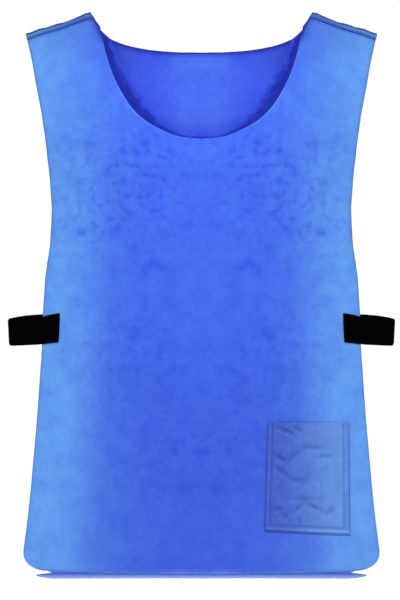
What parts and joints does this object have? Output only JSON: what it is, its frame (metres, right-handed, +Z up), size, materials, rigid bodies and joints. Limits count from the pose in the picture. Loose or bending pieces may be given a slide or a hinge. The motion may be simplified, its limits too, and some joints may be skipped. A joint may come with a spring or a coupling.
{
  "type": "cooling vest",
  "caption": "Pull-over cooling vest in its worn form: wide front and back panels joined at the shoulders and by elastic side straps, with a patch pocket.",
  "frame": {"origin": "midway between the neck ends of the two shoulder seams, where the vest rests on the wearer", "axes": "+Z up, -Y out of the chest, +X to the wearer's left"},
  "size_m": [0.4512, 0.2289, 0.6732],
  "materials": {
    "cooling_cloth": "matt brushed microfibre, finely crinkled",
    "seam_cloth": "the same cloth doubled and stitched down",
    "strap_elastic": "black ribbed woven elastic",
    "pocket_nylon": "thin creased nylon with a slight shine"
  },
  "bodies": {
    "root": {"front_panel": "cooling_cloth", "back_panel": "cooling_cloth", "shoulder_seam_left": "seam_cloth", "shoulder_seam_right": "seam_cloth", "side_strap_left": "strap_elastic", "side_strap_right": "strap_elastic", "front_pocket": "pocket_nylon"}
  },
  "joints": []
}
